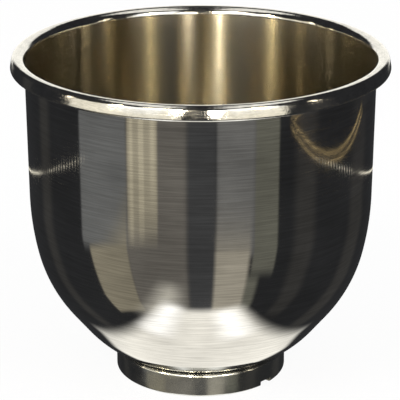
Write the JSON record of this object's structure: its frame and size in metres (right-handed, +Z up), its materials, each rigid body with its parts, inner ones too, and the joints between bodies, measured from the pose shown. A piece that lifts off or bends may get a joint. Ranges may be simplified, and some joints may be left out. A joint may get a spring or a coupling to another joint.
{
  "type": "mixer bowl",
  "caption": "Deep round stand-mixer bowl in polished steel sheet with a rolled rim, a rounded bottom and a welded foot ring with an inward lip and twist-lock notches.",
  "frame": {"origin": "on the bowl's axis, at the ground face of the foot ring", "axes": "+Z up along the axis, out of the mouth; the first notch of the ring is 49.8 degrees from -Y towards +X, and the second is opposite it"},
  "size_m": [0.22, 0.22, 0.196],
  "materials": {
    "bowl_steel": "polished stainless with fine brushing round the axis",
    "ring_steel": "satin stainless with fine brushing round the axis"
  },
  "bodies": {
    "root": {"bowl_shell": "bowl_steel", "base_ring": "ring_steel"}
  },
  "joints": []
}
